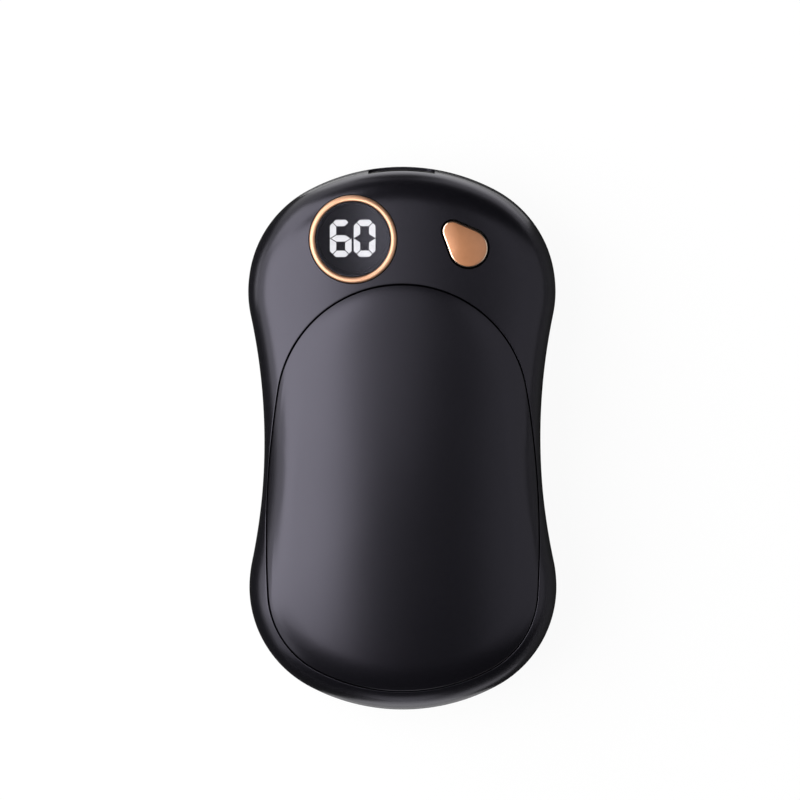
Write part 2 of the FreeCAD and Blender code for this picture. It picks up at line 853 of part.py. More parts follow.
def cross_headed_screw(x, y, seat, head_radius, head_height, radius, tip):
    """Pan-head screw that points up, drawn at its core diameter."""
    head = rod(x, y, seat - head_height, head_radius, seat)
    rim = [edge for edge in head.Edges if abs(edge.BoundBox.ZMax - seat + head_height) < layer_gap]
    head = head.makeFillet(screw_head_round, rim)
    low = seat - head_height
    slot_length = 2 * (head_radius - recess_rim)
    for width, length in ((recess_width, slot_length), (slot_length, recess_width)):
        head = head.cut(block(x, y, low, width, length, low + recess_depth))
    return head.fuse(rod(x, y, seat, radius, tip)).removeSplitter().Solids[0]


def shell_screws():
    return Part.makeCompound([
        cross_headed_screw(x, y, screw_seat(x, y), screw_head_radius, screw_head_height, screw_radius,
                           parting + screw_bite) for x, y in shell_screw_places()])


def board_screws():
    return Part.makeCompound([
        cross_headed_screw(x, y, board_bottom, board_screw_head_radius, board_screw_head_height,
                           board_pilot_radius - pilot_clearance, board_bottom + board_screw_length)
        for x, y in board_screw_places()])


front = front_half()
back = back_half()
nodes = {
    "front_shell": front_shell(),
    "back_shell": back_shell(),
    "front_heat_plate": heat_plate(front_plate_outline, front),
    "back_heat_plate": heat_plate(back_plate_outline, back),
    "front_plate_adhesive": bond_frame(front_plate_outline, front),
    "back_plate_adhesive": bond_frame(back_plate_outline, back),
    "front_heater_film": heater_film(front_plate_outline, front),
    "back_heater_film": heater_film(back_plate_outline, back),
    "front_insulation_pad": insulation_pad(front, cell_front, body_thickness),
    "back_insulation_pad": insulation_pad(back, 0, cell_back),
    "display_bezel": display_bezel(),
    "display_lens": display_lens(),
    "display_reflector": display_reflector(),
    "lit_segments": segments(True),
    "unlit_segments": segments(False),
    "segment_leds": segment_leds(),
    "button_cap": button_cap(),
    "switch_base": switch_base(),
    "switch_cover": switch_cover(),
    "switch_plunger": switch_plunger(),
    "switch_dome": switch_dome(),
    "switch_terminals": switch_terminals(),
    "main_board": main_board(),
    "port_bezel": port_bezel(),
    "usb_shell": usb_shell(),
    "usb_tongue": usb_tongue(),
    "usb_contacts": usb_contacts(),
    "charge_controller": charge_controller(),
    "boost_inductor": boost_inductor(),
    "heater_transistors": heater_transistors(),
    "board_capacitors": board_capacitors(),
    "battery_cell": battery_cell(),
    "battery_tabs": battery_tabs(),
    "battery_protection_board": battery_protection_board(),
    "battery_lead_positive": battery_lead(-battery_lead_x),
    "battery_lead_negative": battery_lead(battery_lead_x),
    "front_heater_leads": window_leads(0, lead_pitch, lead_diameter, film_clearance, True),
    "back_heater_leads": window_leads(0, lead_pitch, lead_diameter, film_clearance, False),
    "front_thermistor": thermistor(True),
    "back_thermistor": thermistor(False),
    "front_thermistor_leads": window_leads(bead_x, sense_lead_pitch, sense_lead_diameter, bead_length, True),
    "back_thermistor_leads": window_leads(bead_x, sense_lead_pitch, sense_lead_diameter, bead_length, False),
    "shell_screws": shell_screws(),
    "board_screws": board_screws(),
}

os.makedirs("parts", exist_ok=True)
for name, shape in nodes.items():
    shape.exportStep("parts/" + name + ".step")
    valid = all(solid.isValid() for solid in shape.Solids)
    print(name, "solids", len(shape.Solids), "volume", round(shape.Volume, 2), "valid", valid)
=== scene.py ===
import math
import bpy
import numpy as np
from mathutils import Matrix


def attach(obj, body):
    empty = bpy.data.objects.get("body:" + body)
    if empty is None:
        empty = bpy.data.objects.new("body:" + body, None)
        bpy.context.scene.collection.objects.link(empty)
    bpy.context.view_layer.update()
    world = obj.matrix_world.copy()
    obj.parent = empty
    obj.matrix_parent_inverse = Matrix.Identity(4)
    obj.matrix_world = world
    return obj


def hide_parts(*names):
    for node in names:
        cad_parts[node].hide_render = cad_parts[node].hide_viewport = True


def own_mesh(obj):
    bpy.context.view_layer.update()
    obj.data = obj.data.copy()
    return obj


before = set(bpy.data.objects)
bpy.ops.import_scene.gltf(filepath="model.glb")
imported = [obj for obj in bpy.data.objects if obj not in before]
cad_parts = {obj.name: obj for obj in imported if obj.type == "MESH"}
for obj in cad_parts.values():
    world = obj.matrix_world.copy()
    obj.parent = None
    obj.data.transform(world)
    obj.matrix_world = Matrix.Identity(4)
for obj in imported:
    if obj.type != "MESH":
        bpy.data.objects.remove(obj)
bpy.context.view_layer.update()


# Back shell: the lower half of the case, moulded in black plastic from a spark-eroded tool, which leaves a
# fine satin grain. Its rebate takes the front shell's lip, and a shallow pocket takes the back heat plate.
# The case is a pebble with a waist: tangent arcs in plan, a crowned face and a round rim.
mm = 0.001
thickness = 25.0
parting = thickness / 2
half_length = 52.0
half_width = 29.5
waist_draw = 3.0
end_radius = 38.5
shoulder_radius = 21.6
across_radius = 120.0
along_radius = 420.0
rim_radius = 6.5
rim_ease = 0.45
shell_wall = 2.3
back_plate_inset = 3.2
resting_cut = 0.6
pocket_depth = 0.8
seam_gap = 0.20
seam_round = 0.20
gutter_width = 0.5
gutter_depth = 1.7
parting_round = 0.15
rebate_inset = 1.22
rebate_depth = 1.28
port_width = 12.7
port_height = 7.0
port_level = 12.503
port_round = 1.6
port_cut_length = 12.0
columns = 320
pocket_steps = 12
face_steps = 84
inner_steps = 40
# Slot of the painted shade finish, for the seam gutters and the walls of cuts.
painted_shade_slot = 1
end_y = half_length - end_radius
shoulder_x = half_width - shoulder_radius
lobe_y = end_y + math.sqrt((end_radius - shoulder_radius) ** 2 - shoulder_x ** 2)
waist_radius = (lobe_y ** 2 + waist_draw ** 2) / (2 * waist_draw) - shoulder_radius
waist_x = half_width - waist_draw + waist_radius


def walk_edge(arcs, count):
    """Evenly spaced points on a closed edge of tangent arcs, with the outward direction at each."""
    joins = []
    for (x, y, radius, side), (next_x, next_y, next_radius, next_side) in zip(arcs, arcs[1:] + arcs[:1]):
        toward = np.array((next_x - x, next_y - y)) / math.hypot(next_x - x, next_y - y)
        if side == next_side and radius < next_radius:
            toward = -toward
        joins.append(np.array((x, y)) + toward * radius)
    starts, sweeps = [], []
    for i, (x, y, radius, side) in enumerate(arcs):
        start = math.atan2(joins[i - 1][1] - y, joins[i - 1][0] - x)
        end = math.atan2(joins[i][1] - y, joins[i][0] - x)
        starts.append(start)
        sweeps.append(-side * ((-side * (end - start)) % (2 * math.pi)))
    starts, sweeps = np.array(starts), np.array(sweeps)
    table = np.array(arcs, float)
    lengths = np.abs(sweeps) * table[:, 2]
    ends = np.cumsum(lengths)
    along = (np.arange(count) / count * ends[-1] + lengths[0] / 2) % ends[-1]
    which = np.searchsorted(ends, along, side="right")
    angle = starts[which] + sweeps[which] * (1 - (ends[which] - along) / lengths[which])
    ray = np.stack((np.cos(angle), np.sin(angle)), 1)
    return table[which, :2] + ray * table[which, 2:3], ray * table[which, 3:4]


def crown(x, y, depth, apex=thickness):
    """Height of the crowned face, sunk by a depth along its normals."""
    across = across_radius - depth
    along = along_radius - depth
    return apex - depth - along + np.sqrt((along - across + np.sqrt(across ** 2 - x ** 2)) ** 2 - y ** 2)


def full_turn(share):
    """Share of the rim's turn, eased in so that the rim grows out of the crown without a break."""
    return 0.5 * (share + np.sqrt(share ** 2 + rim_ease ** 2))


def face_height(plan, depth, apex=thickness):
    """Height of the case's face at plan points, sunk by a depth: the crown, with a rolled rim round it."""
    x, y = np.abs(plan[:, 0]), np.abs(plan[:, 1])
    in_end = shoulder_x * (y - end_y) > (lobe_y - end_y) * x
    in_waist = ~in_end & ((waist_x - shoulder_x) * (y - lobe_y) < -lobe_y * (x - shoulder_x))
    hub_x = np.where(in_end, 0, np.where(in_waist, waist_x, shoulder_x))
    hub_y = np.where(in_end, end_y, np.where(in_waist, 0, lobe_y))
    radius = np.where(in_end, end_radius, np.where(in_waist, waist_radius, shoulder_radius))
    side = np.where(in_waist, -1, 1)
    reach = np.maximum(np.hypot(x - hub_x, y - hub_y), 1e-9)
    out_x, out_y = side * (x - hub_x) / reach, side * (y - hub_y) / reach
    beyond = rim_radius - side * (radius - reach)
    ball_x, ball_y = x - out_x * beyond, y - out_y * beyond
    across = np.sqrt((across_radius - rim_radius) ** 2 - ball_x ** 2)
    swing = along_radius - across_radius + across
    rise = np.sqrt(swing ** 2 - ball_y ** 2)
    slope_x, slope_y = -ball_x / across * swing / rise, -ball_y / rise
    lean = -(slope_x * out_x + slope_y * out_y) / np.sqrt(1 + slope_x ** 2 + slope_y ** 2)
    ball = rim_radius - depth
    level = np.sqrt(1 - lean ** 2)
    ease = full_turn(beyond / ball - lean) / full_turn(1 - lean)
    over = ball * np.clip(lean + (1 - lean) * ease, 0, 1)
    drop = (ball - over * lean) / level - np.sqrt(ball ** 2 - over ** 2)
    return crown(x, y, depth, apex) - drop


def level_row(plan, height):
    return np.column_stack((plan, np.broadcast_to(height, len(plan))))


def face_row(plan, depth, apex=thickness):
    return level_row(plan, face_height(plan, depth, apex))


def rounding(start, corner, end, steps):
    """Rows that round off a corner between two rows."""
    rows = []
    for t in np.linspace(0, 1, steps):
        rows.append((1 - t) ** 2 * start + 2 * t * (1 - t) * corner + t ** 2 * end)
    return rows


def face_rows(start, end, depth, apex, steps):
    """Rows over the face between two plan loops, evenly spaced along the face itself."""
    fine_steps = np.sin(np.linspace(0, math.pi / 2, 160))
    fine = np.array([face_row(start + (end - start) * t, depth, apex) for t in fine_steps])
    runs = np.linalg.norm(np.diff(fine, axis=0), axis=2)
    along = np.vstack((np.zeros(len(start)), np.cumsum(runs, axis=0)))
    along = along / along[-1]
    rows = np.empty((steps, len(start), 3))
    wanted = np.linspace(0, 1, steps)
    for column in range(len(start)):
        for axis in range(3):
            rows[:, column, axis] = np.interp(wanted, along[:, column], fine[:, column, axis])
    return list(rows)


def wrap_rows(name, rows, slots=None):
    """Closed skin through rows of points that all run round the piece: a grid wrapped round it and joined.

    The bands of faces named in slots take that one of the piece's materials, the others take the first.
    """
    count = len(rows[0])
    bpy.ops.object.select_all(action="DESELECT")
    bpy.ops.mesh.primitive_grid_add(x_subdivisions=count, y_subdivisions=len(rows) - 1, size=1)
    piece = bpy.context.object
    piece.name = name
    piece.data.name = name
    places = np.array([np.vstack((row, row[:1])) for row in rows]) * mm
    piece.data.vertices.foreach_set("co", places.astype(np.float32).ravel())
    for band, slot in (slots or {}).items():
        for face in piece.data.polygons[band * count:(band + 1) * count]:
            face.material_index = slot
    bpy.ops.object.mode_set(mode="EDIT")
    bpy.ops.mesh.select_all(action="SELECT")
    bpy.ops.mesh.remove_doubles(threshold=0.0002 * mm)
    bpy.ops.mesh.normals_make_consistent(inside=False)
    bpy.ops.object.mode_set(mode="OBJECT")
    bpy.ops.object.transform_apply(location=True, rotation=True, scale=True)
    return piece


def smooth_over(piece, degrees=32):
    """Joins what the cuts left double and shades the piece smooth up to its edges."""
    bpy.ops.object.select_all(action="DESELECT")
    piece.select_set(True)
    bpy.context.view_layer.objects.active = piece
    bpy.ops.object.mode_set(mode="EDIT")
    bpy.ops.mesh.select_all(action="SELECT")
    bpy.ops.mesh.remove_doubles(threshold=0.001 * mm)
    bpy.ops.mesh.dissolve_degenerate(threshold=0.001 * mm)
    bpy.ops.mesh.fill_holes(sides=6)
    bpy.ops.mesh.normals_make_consistent(inside=False)
    bpy.ops.object.mode_set(mode="OBJECT")
    bpy.ops.object.shade_smooth_by_angle(angle=math.radians(degrees))


def shell_rows(pocket, pocket_out, middle, step_inset, step_rise, apex):
    """One half of the case with its face up: pocket floor, pocket edge, face, wall, lip and inner face."""
    ledge = pocket - pocket_out * gutter_width
    rows = []
    for t in np.linspace(0, 1, pocket_steps):
        rows.append(face_row(middle + (ledge - middle) * t, pocket_depth, apex))
    rows += [face_row(ledge, gutter_depth, apex), face_row(pocket, gutter_depth, apex)]
    rim = face_height(pocket, 0, apex)
    outer = pocket + pocket_out * seam_round
    rows += rounding(level_row(pocket, rim - seam_round), level_row(pocket, rim),
                     face_row(outer, 0, apex), steps=6)
    rows += face_rows(outer, body_edge, 0, apex, face_steps)[1:]
    brow = rows[-1][:, 2]
    for t in np.linspace(0, 1, 6)[1:]:
        rows.append(level_row(body_edge, brow + (parting + parting_round - brow) * t))
    rows += rounding(rows[-1], level_row(body_edge, parting),
                     level_row(body_edge - body_out * parting_round, parting), steps=5)[1:]
    step = body_edge - body_out * step_inset
    step_end = parting + step_rise
    inner = body_edge - body_out * shell_wall
    rows += [level_row(step, parting), level_row(step, step_end), level_row(inner, step_end)]
    rows += face_rows(np.zeros_like(inner) + middle, inner, shell_wall, apex, inner_steps)[::-1]
    return rows


body_edge, body_out = walk_edge([
    (0, end_y, end_radius, 1), (shoulder_x, lobe_y, shoulder_radius, 1), (waist_x, 0, waist_radius, -1),
    (shoulder_x, -lobe_y, shoulder_radius, 1), (0, -end_y, end_radius, 1),
    (-shoulder_x, -lobe_y, shoulder_radius, 1), (-waist_x, 0, waist_radius, -1),
    (-shoulder_x, lobe_y, shoulder_radius, 1)], columns)
# The gutter round each pocket takes the painted shade slot: its faces are painted black as shade.
pocket_slots = dict.fromkeys(range(pocket_steps - 1, pocket_steps + 3), painted_shade_slot)
back_apex = thickness + resting_cut
back_plate_edge = body_edge - body_out * back_plate_inset
centre = np.zeros(2)
back_rows = shell_rows(back_plate_edge + body_out * seam_gap, body_out, centre,
                       rebate_inset, rebate_depth, back_apex)
back_rows = [np.column_stack((row[:, :2], thickness - row[:, 2])) for row in back_rows]
back_shell = wrap_rows("back_shell_moulding", back_rows, pocket_slots)


def new_finish(name):
    """A material with its node tree and its shader at hand."""
    material = bpy.data.materials.new(name)
    material.use_nodes = True
    return material, material.node_tree, material.node_tree.nodes["Principled BSDF"]


def place_noise(tree, scale, detail=2.0):
    """Noise on the piece's own coordinates."""
    place = tree.nodes.new("ShaderNodeTexCoord")
    noise = tree.nodes.new("ShaderNodeTexNoise")
    noise.inputs["Scale"].default_value = scale
    noise.inputs["Detail"].default_value = detail
    tree.links.new(place.outputs["Object"], noise.inputs["Vector"])
    return noise


def vary_roughness(tree, shader, noise, low, high):
    spread = tree.nodes.new("ShaderNodeMapRange")
    spread.inputs["To Min"].default_value = low
    spread.inputs["To Max"].default_value = high
    tree.links.new(noise.outputs["Fac"], spread.inputs["Value"])
    tree.links.new(spread.outputs["Result"], shader.inputs["Roughness"])


def vary_colour(tree, shader, noise, dark, light):
    ramp = tree.nodes.new("ShaderNodeValToRGB")
    ramp.color_ramp.elements[0].position = 0.3
    ramp.color_ramp.elements[1].position = 0.7
    ramp.color_ramp.elements[0].color = (*dark, 1)
    ramp.color_ramp.elements[1].color = (*light, 1)
    tree.links.new(noise.outputs["Fac"], ramp.inputs["Fac"])
    tree.links.new(ramp.outputs["Color"], shader.inputs["Base Color"])


def emboss(tree, shader, height, strength, depth):
    bump = tree.nodes.new("ShaderNodeBump")
    bump.inputs["Strength"].default_value = strength
    bump.inputs["Distance"].default_value = depth
    tree.links.new(height, bump.inputs["Height"])
    tree.links.new(bump.outputs["Normal"], shader.inputs["Normal"])


satin_black, tree, shader = new_finish("satin_black_moulding")
vary_colour(tree, shader, place_noise(tree, 900), (0.0020, 0.0019, 0.0027), (0.0030, 0.0028, 0.0039))
vary_roughness(tree, shader, place_noise(tree, 70), 0.25, 0.28)
shader.inputs["Specular Tint"].default_value = (0.86, 0.82, 1.0, 1)
emboss(tree, shader, place_noise(tree, 6500).outputs["Fac"], 0.10, 0.00002)
# Painted shade: a near-black, dull finish for the seam's gutter and the walls of cuts, where shade falls.
seam_painted_shade, tree, shader = new_finish("seam_shadow_black")
vary_colour(tree, shader, place_noise(tree, 900), (0.0010, 0.0010, 0.0012), (0.0018, 0.0018, 0.0020))
shader.inputs["Roughness"].default_value = 0.9
shader.inputs["Specular IOR Level"].default_value = 0.05
back_shell.data.materials.append(satin_black)
back_shell.data.materials.append(seam_painted_shade)


def cut_away(piece, cutter):
    """Takes a cutter's room out of a piece."""
    bpy.ops.object.select_all(action="DESELECT")
    piece.select_set(True)
    bpy.context.view_layer.objects.active = piece
    cut = piece.modifiers.new("cut", "BOOLEAN")
    cut.operation = "DIFFERENCE"
    cut.solver = "EXACT"
    cut.object = cutter
    bpy.ops.object.modifier_apply(modifier=cut.name)
    bpy.data.objects.remove(cutter)


def port_cutter():
    """Rounded bar the size of the port, through the end wall."""
    bpy.ops.object.select_all(action="DESELECT")
    bpy.ops.mesh.primitive_cube_add(size=1, location=(0, half_length * mm, port_level * mm),
                                    scale=(port_width * mm, port_cut_length * mm, port_height * mm))
    bar = bpy.context.object
    bpy.ops.object.transform_apply(location=True, rotation=True, scale=True)
    bpy.ops.object.mode_set(mode="EDIT")
    bpy.ops.mesh.select_all(action="DESELECT")
    bpy.ops.object.mode_set(mode="OBJECT")
    for edge in bar.data.edges:
        ends = [bar.data.vertices[v].co for v in edge.vertices]
        edge.select = abs(ends[0].y - ends[1].y) > port_cut_length / 2 * mm
    bpy.ops.object.mode_set(mode="EDIT")
    bpy.ops.mesh.select_mode(type="EDGE")
    bpy.ops.mesh.bevel(offset=port_round * mm, segments=10, profile=0.5)
    bpy.ops.object.mode_set(mode="OBJECT")
    return bar


cut_away(back_shell, port_cutter())
smooth_over(back_shell)
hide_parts("back_shell")
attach(back_shell, "case")


# Back heat plate: a thin aluminium panel, pressed with a flat that the part rests on and coated satin
# black. A bonding frame holds its edge in the back shell's pocket, round the heater film under it.
plate_thickness = 0.6
plate_round = 0.2
roll_width = 5.0
swell_width = 2.3
flat_ease = 0.02
plate_steps = 70
under_steps = 14


def plate_rows(edge, edge_out, middle, apex, dome, swell):
    """A plate with its face up: a domed face that rolls off along its edge, the edge and the underside."""
    inner = edge - edge_out * plate_round
    fall = crown(*inner.T, 0, apex) - face_height(inner, 0, apex)
    rows = []
    for t in np.sin(np.linspace(0, math.pi / 2, plate_steps)):
        plan = middle + (inner - middle) * t
        inset = np.linalg.norm(plan[:, None] - inner[None], axis=2).min(1)
        rise = dome * (1 - t ** 2) + swell * (1 - np.exp(-inset / swell_width))
        near = np.clip(1 - inset / roll_width, 0, 1)
        rows.append(level_row(plan, crown(*plan.T, 0, apex) + rise - fall * near ** 2))
    brim = face_height(edge, 0, apex)
    rows += rounding(rows[-1], level_row(edge, brim), level_row(edge, brim - plate_round), steps=6)[1:]
    for t in np.linspace(1, 0, under_steps):
        rows.append(face_row(middle + (edge - middle) * t, plate_thickness, apex))
    return rows


def turned_over(rows, floor):
    """The rows of the back plate turned face down, and pressed level where the part rests."""
    turned = []
    for row in rows:
        height = thickness - row[:, 2] - floor
        level = 0.5 * (height + np.sqrt(height ** 2 + flat_ease))
        turned.append(np.column_stack((row[:, :2], level + floor)))
    return turned


back_plate_rows = plate_rows(back_plate_edge, body_out, centre, back_apex, 0, 0)
face_count = len(back_plate_rows) - under_steps
back_plate_rows = (turned_over(back_plate_rows[:face_count], 0)
                   + turned_over(back_plate_rows[face_count:], plate_thickness))
back_plate = wrap_rows("back_heat_panel", back_plate_rows)
plate_coat, tree, shader = new_finish("black_panel_coat")
vary_colour(tree, shader, place_noise(tree, 1400), (0.0020, 0.0019, 0.0027), (0.0028, 0.0026, 0.0037))
vary_roughness(tree, shader, place_noise(tree, 55), 0.25, 0.28)
shader.inputs["Specular Tint"].default_value = (0.86, 0.82, 1.0, 1)
emboss(tree, shader, place_noise(tree, 8500).outputs["Fac"], 0.08, 0.000015)
back_plate.data.materials.append(plate_coat)
smooth_over(back_plate)
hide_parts("back_heat_plate")
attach(back_plate, "case")


# Bonding frames and heater films under both plates: die-cut acrylic foam tape, and amber polyimide film
# with a foil track that runs to and fro.
bond_tape, tree, shader = new_finish("acrylic_foam_tape")
vary_colour(tree, shader, place_noise(tree, 1500), (0.055, 0.055, 0.058), (0.11, 0.11, 0.115))
vary_roughness(tree, shader, place_noise(tree, 300), 0.55, 0.75)
heater_film, tree, shader = new_finish("amber_heater_film")
track = tree.nodes.new("ShaderNodeTexWave")
track.wave_profile = "SIN"
track.inputs["Scale"].default_value = 60
track.inputs["Distortion"].default_value = 0.4
place = tree.nodes.new("ShaderNodeTexCoord")
tree.links.new(place.outputs["Object"], track.inputs["Vector"])
vary_colour(tree, shader, track, (0.42, 0.16, 0.02), (0.26, 0.10, 0.03))
vary_roughness(tree, shader, place_noise(tree, 400), 0.22, 0.34)
for node, finish in (("back_plate_adhesive", bond_tape), ("front_plate_adhesive", bond_tape),
                     ("back_heater_film", heater_film), ("front_heater_film", heater_film)):
    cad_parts[node].data.materials.clear()
    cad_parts[node].data.materials.append(finish)


# Battery: a flat pouch cell in crimped aluminium foil, with nickel tabs, a small protection board and two
# silicone-covered leads, held between two pads of closed-cell foam.
cell_foil, tree, shader = new_finish("pouch_foil")
shader.inputs["Metallic"].default_value = 0.85
vary_colour(tree, shader, place_noise(tree, 120), (0.52, 0.53, 0.54), (0.68, 0.69, 0.70))
vary_roughness(tree, shader, place_noise(tree, 260), 0.26, 0.42)
emboss(tree, shader, place_noise(tree, 180, 4).outputs["Fac"], 0.35, 0.0002)
nickel, tree, shader = new_finish("rolled_nickel")
shader.inputs["Metallic"].default_value = 1.0
vary_colour(tree, shader, place_noise(tree, 700), (0.50, 0.48, 0.44), (0.66, 0.63, 0.58))
vary_roughness(tree, shader, place_noise(tree, 900), 0.25, 0.4)
foam_pad, tree, shader = new_finish("closed_cell_foam")
cells = tree.nodes.new("ShaderNodeTexVoronoi")
cells.inputs["Scale"].default_value = 1600
place = tree.nodes.new("ShaderNodeTexCoord")
tree.links.new(place.outputs["Object"], cells.inputs["Vector"])
vary_colour(tree, shader, place_noise(tree, 800), (0.020, 0.020, 0.022), (0.042, 0.042, 0.045))
shader.inputs["Roughness"].default_value = 0.9
emboss(tree, shader, cells.outputs["Distance"], 0.6, 0.0002)


def lead_finish(name, dark, light):
    finish, tree, shader = new_finish(name)
    vary_colour(tree, shader, place_noise(tree, 500), dark, light)
    vary_roughness(tree, shader, place_noise(tree, 700), 0.45, 0.6)
    return finish


red_lead = lead_finish("red_silicone", (0.42, 0.014, 0.012), (0.52, 0.022, 0.018))
black_lead = lead_finish("black_silicone", (0.010, 0.010, 0.011), (0.018, 0.018, 0.019))
white_lead = lead_finish("white_silicone", (0.66, 0.65, 0.62), (0.76, 0.75, 0.73))
for node, finish in (("battery_cell", cell_foil), ("battery_tabs", nickel),
                     ("back_insulation_pad", foam_pad), ("front_insulation_pad", foam_pad),
                     ("battery_lead_positive", red_lead), ("battery_lead_negative", black_lead),
                     ("back_heater_leads", white_lead), ("front_heater_leads", white_lead),
                     ("back_thermistor_leads", black_lead), ("front_thermistor_leads", black_lead)):
    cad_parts[node].data.materials.clear()
    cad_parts[node].data.materials.append(finish)


# Main board and what is soldered to it: green masked laminate with copper runs under the mask, epoxy
# chips, a ferrite inductor and ceramic capacitors. Three screws hold it to the front shell's posts.
solder_mask, tree, shader = new_finish("green_solder_mask")
runs = tree.nodes.new("ShaderNodeTexBrick")
runs.inputs["Scale"].default_value = 260
runs.inputs["Mortar Size"].default_value = 0.09
runs.inputs["Color1"].default_value = (0.010, 0.070, 0.028, 1)
runs.inputs["Color2"].default_value = (0.008, 0.060, 0.024, 1)
runs.inputs["Mortar"].default_value = (0.030, 0.150, 0.060, 1)
place = tree.nodes.new("ShaderNodeTexCoord")
tree.links.new(place.outputs["Object"], runs.inputs["Vector"])
tree.links.new(runs.outputs["Color"], shader.inputs["Base Color"])
vary_roughness(tree, shader, place_noise(tree, 500), 0.28, 0.4)
emboss(tree, shader, runs.outputs["Fac"], 0.3, 0.00003)


def part_finish(name, dark, light, rough, metal=0.0):
    finish, tree, shader = new_finish(name)
    shader.inputs["Metallic"].default_value = metal
    vary_colour(tree, shader, place_noise(tree, 1200), dark, light)
    vary_roughness(tree, shader, place_noise(tree, 1600), rough, rough + 0.14)
    emboss(tree, shader, place_noise(tree, 5000).outputs["Fac"], 0.2, 0.00001)
    return finish


chip_epoxy = part_finish("chip_epoxy", (0.012, 0.012, 0.013), (0.022, 0.022, 0.023), 0.5)
ferrite = part_finish("pressed_ferrite", (0.055, 0.052, 0.050), (0.095, 0.090, 0.086), 0.55)
ceramic = part_finish("fired_ceramic", (0.30, 0.20, 0.12), (0.40, 0.28, 0.17), 0.4)
steel = part_finish("pressed_steel", (0.50, 0.50, 0.51), (0.64, 0.64, 0.65), 0.24, 1.0)
bead_glass = part_finish("bead_glass", (0.10, 0.03, 0.01), (0.16, 0.05, 0.02), 0.12)
for node, finish in (("main_board", solder_mask), ("battery_protection_board", solder_mask),
                     ("charge_controller", chip_epoxy), ("heater_transistors", chip_epoxy),
                     ("boost_inductor", ferrite), ("board_capacitors", ceramic), ("board_screws", steel),
                     ("shell_screws", steel), ("back_thermistor", bead_glass),
                     ("front_thermistor", bead_glass)):
    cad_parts[node].data.materials.clear()
    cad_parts[node].data.materials.append(finish)


# Charging port: a matt black insert that fills the opening in the end wall, and the type C socket behind
# it, a drawn steel shell round a moulded tongue with gilt contacts.
insert_black, tree, shader = new_finish("matt_black_insert")
vary_colour(tree, shader, place_noise(tree, 600), (0.0020, 0.0020, 0.0022), (0.0032, 0.0032, 0.0034))
vary_roughness(tree, shader, place_noise(tree, 200), 0.62, 0.72)
shader.inputs["Specular IOR Level"].default_value = 0.12
black_moulding = part_finish("black_moulding", (0.008, 0.008, 0.009), (0.014, 0.014, 0.015), 0.5)
gilt = part_finish("gilt_contact", (0.78, 0.52, 0.16), (0.90, 0.64, 0.24), 0.2, 1.0)
for node, finish in (("port_bezel", insert_black), ("usb_shell", steel), ("usb_tongue", black_moulding),
                     ("usb_contacts", gilt)):
    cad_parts[node].data.materials.clear()
    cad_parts[node].data.materials.append(finish)


# Display: light-emitting diodes on the board shine up the wells of a black reflector into white diffusers,
# one for each segment. The lit ones show 60.
lit_diffuser, tree, shader = new_finish("lit_diffuser")
vary_colour(tree, shader, place_noise(tree, 2200), (0.78, 0.78, 0.80), (0.86, 0.86, 0.88))
shader.inputs["Roughness"].default_value = 0.5
glow = tree.nodes.new("ShaderNodeValToRGB")
glow.color_ramp.elements[0].position = 0.35
glow.color_ramp.elements[1].position = 0.65
glow.color_ramp.elements[0].color = (0.88, 0.88, 0.90, 1)
glow.color_ramp.elements[1].color = (1.0, 1.0, 1.0, 1)
tree.links.new(place_noise(tree, 1300, 3).outputs["Fac"], glow.inputs["Fac"])
tree.links.new(glow.outputs["Color"], shader.inputs["Emission Color"])
shader.inputs["Emission Strength"].default_value = 4.9
dark_diffuser = part_finish("unlit_diffuser", (0.030, 0.030, 0.032), (0.040, 0.040, 0.042), 0.5)
led_package = part_finish("diode_package", (0.70, 0.66, 0.40), (0.80, 0.76, 0.52), 0.4)
for node, finish in (("segment_leds", led_package), ("display_reflector", insert_black),
                     ("lit_segments", lit_diffuser), ("unlit_segments", dark_diffuser)):
    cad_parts[node].data.materials.clear()
    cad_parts[node].data.materials.append(finish)


# Display lens: a smoked acrylic window, dished a little on its outer face, that drops on the seat in the
# front shell before the ring goes in.
display = np.array((-9.34, 38.94))
display_seat = 20.334
lens_radius = 7.2
lens_sunk = 0.3
lens_round = 0.12
dish_radius = 70.0
ring_turns = 160
turn = np.linspace(0, 2 * math.pi, ring_turns, endpoint=False)
round_about = np.column_stack((np.cos(turn), np.sin(turn)))
lens_rows = [level_row(display + round_about * lens_radius * t, display_seat) for t in np.linspace(0, 1, 8)]
lens_rim = display + round_about * lens_radius
rim_steps = np.column_stack((np.ones(ring_turns), round_about * lens_radius))
rim_level, *rim_slope = np.linalg.lstsq(rim_steps, face_height(lens_rim, lens_sunk), rcond=None)[0]


def dish_height(plan):
    """Height of the lens's face: a shallow dish that hangs in the plane of the ring."""
    out = plan - display
    return rim_level + out @ rim_slope - (lens_radius ** 2 - (out ** 2).sum(1)) / (2 * dish_radius)


lens_brim = display + round_about * (lens_radius - lens_round)
brim_corner = level_row(lens_rim, dish_height(lens_rim))
lens_rows += rounding(brim_corner - np.array((0, 0, lens_round)), brim_corner,
                      level_row(lens_brim, dish_height(lens_brim)), steps=4)
for t in np.linspace(1, 0, 24)[1:]:
    plan = display + (lens_brim - display) * t
    lens_rows.append(level_row(plan, dish_height(plan)))
lens = wrap_rows("display_window", lens_rows)
smoked, tree, shader = new_finish("smoked_acrylic")
tree.nodes.remove(shader)
through = tree.nodes.new("ShaderNodeBsdfRefraction")
through.inputs["Color"].default_value = (0.42, 0.42, 0.425, 1)
through.inputs["Roughness"].default_value = 0.0
through.inputs["IOR"].default_value = 1.49
sheen = tree.nodes.new("ShaderNodeBsdfAnisotropic")
sheen.inputs["Color"].default_value = (0.84, 0.82, 1.0, 1)
vary_sheen = tree.nodes.new("ShaderNodeMapRange")
vary_sheen.inputs["To Min"].default_value = 0.22
vary_sheen.inputs["To Max"].default_value = 0.26
